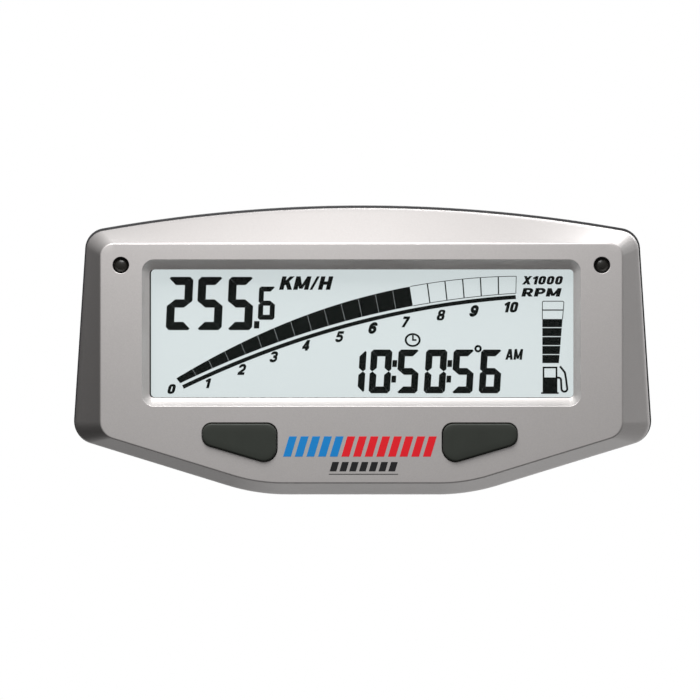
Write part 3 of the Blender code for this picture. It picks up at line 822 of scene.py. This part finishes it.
def threaded_insert(number, word):
    """A brass insert with a real M5 thread cut in its bore."""
    outer, bore, depth_of_cut, pitch = 3.3, 2.1, 0.38, 0.8
    front, back = front_of("mount_insert_left"), back_of("mount_insert_left")
    groove_start, groove_end, groove = 25.2, 26.6, 0.5
    centre = INSERTS[number]
    sides, steps_per_pitch = 48, 8
    rings = [ring(circle(radius, centre, sides), depth) for radius, depth in bent([
        (outer, front + 0.3), (outer, groove_start), (outer - groove, groove_start + 0.3),
        (outer - groove, groove_end - 0.3), (outer, groove_end), (outer, back - 0.15), (outer - 0.15, back),
        (bore + 0.75, back),
    ])]
    thread_start, thread_end = back - 0.35, front + 0.1
    steps = round((thread_start - thread_end) / pitch * steps_per_pitch)
    for k in range(steps + 1):
        depth = thread_start + (thread_end - thread_start) * k / steps
        points = []
        for side in range(sides):
            phase = ((back - depth) / pitch + side / sides) % 1.0
            radius = bore + depth_of_cut * min(1.0, max(0.0, 1.15 - abs(2 * phase - 1) * 1.5))
            angle = 2 * math.pi * side / sides
            points.append((centre[0] + radius * math.cos(angle), centre[1] + radius * math.sin(angle)))
        rings.append(ring(points, depth))
    rings.append(ring(circle(bore + 0.1, centre, sides), front))
    rings.append(ring(circle(outer - 0.3, centre, sides), front))
    made = solid(f"threaded_insert_{word}", [(rings, True)])
    smooth(made, 40.0)
    dress(made, BRASS, nodes=[f"mount_insert_{word}"])


def rubber_grommet():
    """A sleeve with a lip on each side of the rear wall, and two ribs in its bore that grip the harness."""
    wall_front, wall_back = REAR_WALL_DEPTH - GAP, HOUSING_BACK + GAP
    waist, front, back = GROMMET_HOLE - GAP, wall_front - 1.2, CASE_DEPTH - 0.2
    bore, wide = GROMMET_BORE, GROMMET_BORE + 0.3
    profile = bent([
        (bore + 0.5, front), (6.6, front, 0.3), (7.0, wall_front, 0.1), (waist, wall_front),
        (waist, wall_back), (7.6, wall_back, 0.1), (7.4, wall_back + 0.7, 0.4),
        (5.4, back - 0.25, 0.6), (5.0, back, 0.3), (bore, back, 0.4), (bore, 28.6), (wide, 28.2),
        (wide, 27.4), (bore, 27.0), (bore, 26.4), (wide, 26.0), (wide, 25.0), (bore, 24.6),
        (bore, front + 0.4),
    ], 4)
    made = solid("rubber_grommet", [turned(profile, GROMMET_AT, closed=True)])
    smooth(made)
    dress(made, BLACK_RUBBER, nodes=["harness_grommet"])


# ---- flat artwork: the display's lit shapes and the bezel's print ----
# A shape is one outline, or a pair of them where it has a hole.


def flat(shapes, front, back):
    """Thin solids of the shapes."""
    return [tube(*s, front, back) if isinstance(s, tuple) else prism(s, front, back) for s in shapes]


def surrounds(outline, x, z):
    """Whether an outline, which may cross itself, winds round a point."""
    winding = 0
    for (ax, az), (bx, bz) in zip(outline, outline[1:] + outline[:1]):
        if (az <= z) != (bz <= z):
            right_of = (bx - ax) * (z - az) - (x - ax) * (bz - az)
            if (right_of > 0) == (bz > az):
                winding += 1 if bz > az else -1
    return winding != 0


def joined(name, shapes, front, back):
    """One thin solid of shapes that overlap, from the triangles that at least one of them covers."""
    pairs = [shape if isinstance(shape, tuple) else (shape, []) for shape in shapes]
    spots, loops = [], []
    for outline in (outline for pair in pairs for outline in pair if outline):
        loops.append(list(range(len(spots), len(spots) + len(outline))))
        spots += [Vector(point) for point in outline]
    corners, _, triangles, _, _, _ = delaunay_2d_cdt(spots, [], loops, 0, 1e-5)
    covered = []
    for triangle in triangles:
        x, z = sum((corners[i] for i in triangle), Vector((0.0, 0.0))) / 3
        if any(surrounds(outer, x, z) and not (inner and surrounds(inner, x, z)) for outer, inner in pairs):
            covered.append(triangle)
    work = bmesh.new()
    near = [work.verts.new(place(x, front, z)) for x, z in corners]
    far = [work.verts.new(place(x, back, z)) for x, z in corners]
    sides = {(t[i - 1], t[i]) for t in covered for i in range(3)}
    for triangle in covered:
        work.faces.new([near[i] for i in triangle])
        work.faces.new([far[i] for i in reversed(triangle)])
    for a, b in sorted(sides):
        if (b, a) not in sides:
            work.faces.new((near[b], near[a], far[a], far[b]))
    bmesh.ops.delete(work, geom=[spot for spot in work.verts if not spot.link_faces], context="VERTS")
    bmesh.ops.recalc_face_normals(work, faces=work.faces)
    return link_faces(name, work)


def lit(name, shapes, overlapping=False):
    """A piece of the display's lit layer."""
    if overlapping:
        made = joined(name, shapes, LIT_FRONT, LIT_BACK)
    else:
        made = solid(name, flat(shapes, LIT_FRONT, LIT_BACK))
    dress(made, LIT)


def line(path, width):
    """The outline of a line of even width, with square ends."""
    spots = [Vector(point) for point in path]
    left, right = [], []
    for i, spot in enumerate(spots):
        before, after = spots[max(i - 1, 0)], spots[min(i + 1, len(spots) - 1)]
        arriving = (spot - before if i else after - spot).normalized()
        leaving = (after - spot if i < len(spots) - 1 else spot - before).normalized()
        along = (arriving + leaving).normalized()
        normal = Vector((along.y, -along.x))
        half = width / 2 / max(normal.dot(Vector((leaving.y, -leaving.x))), 0.5)
        left.append(tuple(spot - normal * half))
        right.append(tuple(spot + normal * half))
    return left + right[::-1]


def bar(start, end, width):
    """A straight stroke whose ends are level."""
    half = width / 2
    (x0, z0), (x1, z1) = start, end
    return [(x0 - half, z0), (x0 + half, z0), (x1 + half, z1), (x1 - half, z1)]


def oval(wide, high, centre, stem, beam):
    """A rounded ring, with stem as the width of its sides and beam as that of its top and bottom."""
    outer = rounded_rectangle(wide, high, min(wide, high) * 0.42, centre, 6)
    across, down = wide - 2 * stem, high - 2 * beam
    return outer, rounded_rectangle(across, down, min(across, down) * 0.4, centre, 6)


STEM, BEAM = 0.3, 0.25


def upright(x):
    return bar((x, 0.0), (x, 1.0), STEM)


def level(start, end, z, width=BEAM):
    return line([(start, z), (end, z)], width)


def curl(path, width):
    """A line with rounded corners, as in bent()."""
    return line(bent(path), width)


SIX = [
    (0.63, 0.7), (0.63, 0.895, 0.17), (0.12, 0.895, 0.31), (0.12, 0.105, 0.24), (0.61, 0.105, 0.21),
    (0.61, 0.56, 0.23), (0.16, 0.56),
]
NINE = [(0.72 - x, 1.0 - z, *radius) for x, z, *radius in SIX]
CHIN = (0.11, 0.11, 0.16)
ARCH = [(0.12, 0.895, 0.22), (0.6, 0.895, 0.22)]
BOWL = curl([(0.1, 0.895), (0.62, 0.895, 0.22), (0.62, 0.42, 0.22), (0.1, 0.42)], BEAM)
# Bold letters and numbers, one unit high: each one's width and its strokes
GLYPHS = {
    "0": (0.72, [oval(0.72, 1.0, (0.36, 0.5), STEM, BEAM)]),
    "1": (0.5, [upright(0.38), line([(0.04, 0.7), (0.36, 0.88)], BEAM)]),
    "2": (0.72, [
        curl([(0.12, 0.66), *ARCH, (0.6, 0.53, 0.22), (0.14, 0.14)], 0.26),
        level(0.02, 0.7, 0.105),
    ]),
    "3": (0.72, [
        curl([(0.11, 0.72), (0.11, 0.89, 0.16), (0.58, 0.89, 0.19), (0.58, 0.53, 0.16), (0.28, 0.53)], 0.25),
        curl([(0.28, 0.52), (0.6, 0.52, 0.18), (0.6, 0.11, 0.2), CHIN, (0.11, 0.29)], 0.25),
    ]),
    "4": (0.76, [upright(0.52), bar((0.13, 0.3), (0.48, 1.0), 0.25), level(0.02, 0.76, 0.29)]),
    "5": (0.72, [
        level(0.12, 0.68, 0.895),
        bar((0.13, 0.46), (0.2, 1.0), 0.24),
        curl([(0.06, 0.56), (0.6, 0.59, 0.22), (0.6, 0.11, 0.22), CHIN, (0.11, 0.28)], 0.25),
    ]),
    "6": (0.72, [curl(SIX, 0.31)]),
    "7": (0.7, [level(0.04, 0.68, 0.895), bar((0.22, 0.0), (0.56, 0.88), 0.29)]),
    "8": (0.72, [oval(0.7, 0.56, (0.36, 0.72), 0.26, 0.19), oval(0.76, 0.58, (0.36, 0.29), 0.28, 0.2)]),
    "9": (0.72, [curl(NINE, 0.31)]),
    "A": (0.86, [
        bar((0.13, 0.0), (0.4, 1.0), STEM), bar((0.73, 0.0), (0.46, 1.0), STEM),
        level(0.2, 0.66, 0.28, 0.18),
    ]),
    "H": (0.78, [upright(0.13), upright(0.66), level(0.12, 0.66, 0.5)]),
    "K": (0.82, [upright(0.13), bar((0.17, 0.34), (0.66, 1.0), 0.31), bar((0.4, 0.6), (0.7, 0.0), 0.31)]),
    "M": (0.98, [
        upright(0.13), upright(0.86),
        bar((0.14, 1.0), (0.49, 0.08), 0.25), bar((0.84, 1.0), (0.49, 0.08), 0.22),
    ]),
    "P": (0.74, [upright(0.13), BOWL]),
    "R": (0.78, [upright(0.13), BOWL, bar((0.38, 0.45), (0.66, 0.0), 0.3)]),
    "X": (0.82, [bar((0.14, 0.0), (0.68, 1.0), 0.31), bar((0.68, 0.0), (0.14, 1.0), 0.31)]),
    "/": (0.44, [bar((0.08, 0.0), (0.36, 1.0), 0.19)]),
}
SPACING = 0.13


def words(text, low, high, slant=0.25):
    """The shapes of a word or number, fitted to the box from low to high."""
    height = high[1] - low[1]
    lean = slant * height
    length = sum(GLYPHS[character][0] for character in text) + SPACING * (len(text) - 1)
    stretch = (high[0] - low[0] - lean) / length
    shapes = []
    start = 0.0
    for character in text:
        width, strokes = GLYPHS[character]

        def fit(outline):
            left = low[0] + start * stretch
            return [(left + x * stretch + lean * z, low[1] + height * z) for x, z in outline]

        for stroke in strokes:
            shapes.append(tuple(map(fit, stroke)) if isinstance(stroke, tuple) else fit(stroke))
        start += width + SPACING
    return shapes


def shrunk(outline, amount):
    """A convex outline, clockwise or not, moved inwards."""
    area = sum(a[0] * b[1] - b[0] * a[1] for a, b in zip(outline, outline[1:] + outline[:1]))
    ordered = outline if area < 0 else outline[::-1]
    moved = inset_corners([(x, z, None) for x, z in ordered], amount)
    return [(x, z) for x, z, _ in moved]


SEGMENTS = {"0": "abcdef", "1": "bc", "2": "abdeg", "5": "acdfg", "6": "acdefg"}
HAIRLINE = 0.008  # gap between neighbouring segments


def figure(character, corner, size, stroke, slant):
    """A seven-segment figure's lit segments. corner is its lower left one."""
    wide, high = size
    middle, cut, notch = high / 2, stroke * 0.38, stroke * 0.3
    tip = stroke * notch / (notch + stroke / 2)
    upper_left = [
        (0, middle + notch), (0, high - cut), (cut / 2, high - cut / 2), (stroke, high - stroke),
        (stroke, middle + stroke / 2), (tip, middle),
    ]
    top = [
        (cut / 2, high - cut / 2), (cut, high), (wide - cut, high), (wide - cut / 2, high - cut / 2),
        (wide - stroke, high - stroke), (stroke, high - stroke),
    ]
    half_bar = [(tip, middle), (stroke, middle + stroke / 2), (wide - stroke, middle + stroke / 2)]
    shapes = {
        "a": top,
        "b": [(wide - x, z) for x, z in upper_left],
        "c": [(wide - x, high - z) for x, z in upper_left],
        "d": [(x, high - z) for x, z in top],
        "e": [(x, high - z) for x, z in upper_left],
        "f": upper_left,
        "g": half_bar + [(wide - x, high - z) for x, z in half_bar],
    }
    outlines = []
    for letter in SEGMENTS[character]:
        outline = shrunk(shapes[letter], HAIRLINE / 2)
        outlines.append([(corner[0] + x + slant * z, corner[1] + z) for x, z in outline])
    return outlines


def figures(text, x, pitch, foot, size, stroke, slant):
    """Figures side by side, the first one's lower left corner at x."""
    shapes = []
    for number, character in enumerate(text):
        shapes += figure(character, (x + pitch * number, foot), size, stroke, slant)
    return shapes


def block(centre, wide, high, slant):
    """A small slanted block, such as a decimal point."""
    corners = [(-wide / 2, high / 2), (wide / 2, high / 2), (wide / 2, -high / 2), (-wide / 2, -high / 2)]
    return [(centre[0] + x + slant * z, centre[1] + z) for x, z in corners]


def speed_figures():
    slant = 0.045
    shapes = figures("255", x=-44.2, pitch=6.86, foot=4.55, size=(5.75, 12.0), stroke=1.86, slant=slant)
    shapes += figure("6", corner=(-23.45, 6.87), size=(3.75, 7.5), stroke=1.14, slant=slant)
    shapes.append(block(centre=(-23.68, 5.75), wide=1.2, high=1.65, slant=slant))
    lit("speed_figures", shapes)


def clock_figures():
    first, pitch, foot, slant = 1.5, 6.2, -9.68, 0.062
    look = {"size": (4.82, 9.86), "stroke": 1.54, "slant": slant}
    shapes = figure("1", (-4.3, foot), **look) + figures("05056", first, pitch, foot, **look)
    for number in (0, 2):
        colon = first + pitch * number + 5.5
        for rise in (3.2, 6.7):
            shapes.append(block((colon + slant * rise, foot + rise), 1.05, 1.55, slant))
    lit("clock_figures", shapes)


def clock_signs():
    """The clock face over the figures, the degree ring and the half-day mark."""
    face = (11.47, 2.32)
    hands = [(face[0] + 0.05, face[1] + 1.1), (face[0] + 0.05, face[1]), (face[0] + 0.85, face[1])]
    degree = (26.2, 0.36)
    shapes = [
        (ellipse(1.8, 1.55, face), ellipse(1.34, 1.12, face)),
        line(hands, 0.38),
        (circle(0.84, degree), circle(0.35, degree)),
        *words("AM", (32.35, -2.12), (36.3, 0.3), 0.12),
    ]
    lit("clock_signs", shapes, overlapping=True)


def curved(middle, slope, droop, left_droop):
    """A shallow arch, as a function of x. It falls off faster on the left."""
    return lambda x: middle + slope * x - droop * x**2 - left_droop * min(x, 0.0) ** 2


BAND_TOP = curved(11.9, 0.2673, 0.003733, 0.0003)
BAND_FOOT = curved(7.52, 0.2473, 0.002707, 0.00017)
SCALE_LINE = curved(6.46, 0.2518, 0.002662, 0.00016)
CELLS, CELLS_LIT = 20, 14


def border_tops(k):
    """The x of the top of the border before cell k. The cells widen along the band."""
    return -41.8 + 3.594 * k + 0.0118 * k**2


def border_feet(k):
    return -40.94 + 3.6624 * k + 0.006 * k**2


def between(curve, start, end, steps=6):
    places = [start + (end - start) * k / steps for k in range(steps + 1)]
    return [(x, curve(x)) for x in places]


def band_cells():
    """The tachometer's filled cells."""
    margin = 0.02
    shapes = []
    for k in range(CELLS_LIT):
        upper = between(BAND_TOP, border_tops(k) + margin, border_tops(k + 1) - margin)
        lower = between(BAND_FOOT, border_feet(k) + margin, border_feet(k + 1) - margin)
        shapes.append(upper + lower[::-1])
    lit("band_cells", shapes)


def band_outlines():
    """The unlit cells' outlines: fine above and below, heavier between the cells."""
    shapes = []
    for curve, border in ((BAND_TOP, border_tops), (BAND_FOOT, border_feet)):
        shapes.append(line(between(curve, border(CELLS_LIT) + 0.1, border(CELLS), 24), 0.15))
    for k in range(CELLS_LIT + 1, CELLS + 1):
        top, foot = border_tops(k), border_feet(k)
        width = 0.27 if k < CELLS else 0.15
        shapes.append(line([(top, BAND_TOP(top)), (foot, BAND_FOOT(foot))], width))
    lit("band_outlines", shapes, overlapping=True)


def scale_line():
    lit("scale_line", [line(between(SCALE_LINE, -40.3, 34.7, 48), 0.88)])


def scale_numbers():
    places = [
        (-42.84, -8.71), (-34.76, -7.43), (-26.99, -4.3), (-19.77, -1.47), (-12.53, 1.13), (-4.97, 3.07),
        (2.48, 5.03), (9.86, 6.39), (17.88, 7.94), (25.35, 8.87), (33.58, 9.73),
    ]
    widths = {1: 1.6, 10: 3.75}
    shapes = []
    for number, (x, z) in enumerate(places):
        reach = widths.get(number, 2.2) / 2
        rise = 1.1 if number < 2 else 1.2
        shapes += words(str(number), (x - reach, z - rise), (x + reach, z + rise))
    lit("scale_numbers", shapes, overlapping=True)


def unit_labels():
    shapes = words("KM/H", (-18.58, 13.63), (-6.48, 16.66))
    shapes += words("X1000", (36.1, 14.82), (45.45, 16.72))
    shapes += words("RPM", (36.0, 12.1), (44.95, 14.0))
    lit("unit_labels", shapes, overlapping=True)


def fuel_gauge():
    """A column of cells that narrows downwards: two empty ones over five that are lit."""
    left, foot, top = 40.67, -2.87, 11.06

    def right(z):
        return 44.39 + (45.55 - 44.39) * (z - foot) / (top - foot)

    pitch, height = 2.02, 1.83
    shapes = []
    for k in range(5):
        low = foot + pitch * k
        high = low + height
        shapes.append([(left, high), (right(high), high), (right(low), low), (left, low)])
    low, middle, edge = high - 0.05, 9.07, 0.17
    empty = [(left, low), (left, top, 0.35), (right(top), top, 0.35), (right(low), low)]
    shapes += [curl(empty, edge), level(left, right(middle), middle, 0.26)]
    lit("fuel_gauge", shapes, overlapping=True)


def pump_sign():
    left, right, top, sill, foot = 40.74, 44.05, -3.68, -6.1, -9.8
    wall, base = 0.38, 0.36
    shapes = [
        [(left, sill), (right, sill), (right, foot + base / 2), (left, foot + base / 2)],
        [(left - 0.35, foot + base), (right + 0.3, foot + base), (right + 0.3, foot), (left - 0.35, foot)],
    ]
    inset = wall / 2
    frame_path = [(left + inset, sill - 0.1), (left + inset, top - inset), (right - inset, top - inset)]
    shapes.append(line(frame_path + [(right - inset, sill - 0.1)], wall))
    hose = [
        (-0.1, -6.15), (0.8, -6.2, 0.5), (0.95, -9.3, 0.65), (2.3, -9.3, 0.6), (1.95, -6.4, 0.4),
        (1.7, -5.0, 0.8), (0.6, -3.6),
    ]
    shapes.append(curl([(right + x, *rest) for x, *rest in hose], 0.46))
    lit("pump_sign", shapes, overlapping=True)


def printed_stripes():
    """A plain ornament on the bezel between the buttons: slanted bars, and a row of dashes under them."""
    slant, bars, pitch, wide = 0.3, 13, 2.62, 1.75
    foot, height = -23.9, 4.55
    shapes = {"blue": [], "red": [], "dark": []}
    for k in range(bars):
        x = (k - (bars - 1) / 2) * pitch - 0.3
        shapes["blue" if k < 5 else "red"].append(block((x, foot + height / 2), wide, height, slant))
    for k in range(7):
        shapes["dark"].append(block(((k - 3) * 2.2 + 0.55, -26.15), 1.5, 2.1, slant))
    shapes["dark"].append(level(-7.3, 8.3, -27.85, 0.16))
    inks = {"blue": (0.0, 0.22, 0.6), "red": (0.78, 0.004, 0.014), "dark": (0.006, 0.006, 0.007)}
    for word, colour in inks.items():
        made = solid(f"{word}_print", flat(shapes[word], -0.03, -0.004))
        dress(made, printed_ink(f"{word}_ink", colour))


# ---- studio ----


def surroundings():
    """Light from each direction: bright above and low behind, dim at the sides. The camera sees white."""
    world = bpy.data.worlds.new("studio")
    bpy.context.scene.world = world
    world.use_nodes = True
    tree = world.node_tree
    direction = tree.nodes.new("ShaderNodeTexCoord").outputs["Generated"]

    def towards(axis):
        """1 in the direction of axis, -1 away from it."""
        inputs = {0: direction, 1: Vector(axis).normalized()}
        return add_node(tree, "ShaderNodeVectorMath", inputs, operation="DOT_PRODUCT").outputs["Value"]

    def flagged(light, axis, start, end, keep):
        """Dims or strengthens the light round axis, to keep times what it was."""
        inputs = {"Value": towards(axis), "From Min": start, "From Max": end, "To Min": 1.0, "To Max": keep}
        share = add_node(tree, "ShaderNodeMapRange", inputs, interpolation_type="SMOOTHSTEP")
        inputs = {0: light, 1: share.outputs["Result"]}
        return add_node(tree, "ShaderNodeMath", inputs, operation="MULTIPLY").outputs["Value"]

    height = {"Value": towards((0, 0, 1)), "From Min": -1.0, "From Max": 1.0}
    scaled = add_node(tree, "ShaderNodeMapRange", height).outputs["Result"]
    ramp = add_node(tree, "ShaderNodeValToRGB", {"Fac": scaled})
    stops = [(-1.0, 0.09), (-0.4, 0.18), (0.0, 0.33), (0.35, 0.38), (0.7, 0.6), (1.0, 0.9)]
    elements = ramp.color_ramp.elements
    while len(elements) < len(stops):
        elements.new(0.5)
    for element, (position, brightness) in zip(elements, stops):
        element.position = (position + 1) / 2
        element.color = (brightness, brightness, brightness, 1.0)
    light = ramp.outputs["Color"]
    light = flagged(light, (-0.92, 0.4, 0.0), 0.25, 0.75, keep=0.03)
    light = flagged(light, (0.83, 0.56, 0.0), 0.45, 0.85, keep=0.8)
    light = flagged(light, (0.0, 0.92, -0.39), 0.5, 0.9, keep=4.8)
    seen = tree.nodes.new("ShaderNodeLightPath").outputs["Is Camera Ray"]
    strength = add_node(tree, "ShaderNodeMix", {"Factor": seen, "A": light, "B": 1.0})
    shader = tree.nodes["Background"]
    tree.links.new(strength.outputs["Result"], shader.inputs["Strength"])
    shader.inputs["Color"].default_value = (1.0, 1.0, 1.0, 1.0)


def softbox(name, place_at, size, power):
    """A square area light aimed at the display."""
    lamp = bpy.data.lights.new(name, "AREA")
    lamp.shape = "SQUARE"
    lamp.size = size
    lamp.energy = power
    made = link(name, lamp)
    made.location = place_at
    made.rotation_euler = (-Vector(place_at)).to_track_quat("-Z", "Y").to_euler()
    made.visible_camera = False


def studio():
    """The lights, and a pale floor that only the camera sees."""
    surroundings()
    softbox("key_light", (-0.026, -0.13, 0.16), size=0.12, power=0.55)
    softbox("back_light", (0.12, 0.5, 0.25), size=0.3, power=1.3)
    radius, drop = 1.1, 0.11
    work = bmesh.new()
    work.faces.new([work.verts.new((x * radius, y * radius, -drop)) for x, y in circle(1.0)])
    floor = link_faces("floor", work)
    recipe = Recipe(
        "pale_floor", (0.7, 0.7, 0.69), 0.9, Specular_IOR_Level=0.0, Emission_Strength=0.45,
        Emission_Color=(1.0, 1.0, 0.99, 1.0),
    )
    recipe.tint(recipe.noise(60.0, 3.0), 0.99, 1.01)
    floor.data.materials.append(recipe.material)
    floor.visible_diffuse = floor.visible_glossy = floor.visible_shadow = False


def camera():
    """A long lens in front, a little to the right, which takes in 158 mm at the bezel's rim."""
    distance, frame_width, azimuth = 3.0, 0.158, math.radians(1.2)
    aim = Vector((-2.78 * MM, FACE_Y + RIM_DEPTH * MM, 0.07 * MM))
    data = bpy.data.cameras.new("camera")
    data.lens = data.sensor_width * distance / frame_width
    data.clip_end = 20.0
    made = link("camera", data)
    made.location = aim + Vector((math.sin(azimuth), -math.cos(azimuth), 0.0)) * distance
    made.rotation_euler = (math.pi / 2, 0.0, azimuth)
    bpy.context.scene.camera = made
    bpy.context.scene.view_settings.view_transform = "Standard"


camera()
studio()
dress_cad_nodes()
painted_bezel()
window_mask()
black_housing()
for number, (side, word) in enumerate(((-1, "left"), (1, "right"))):
    key(side, word)
    boot(side, word)
    dome(number, word)
    threaded_insert(number, word)
pan_head_screws()
rubber_grommet()
speed_figures()
clock_figures()
clock_signs()
band_cells()
band_outlines()
scale_line()
scale_numbers()
unit_labels()
fuel_gauge()
pump_sign()
printed_stripes()
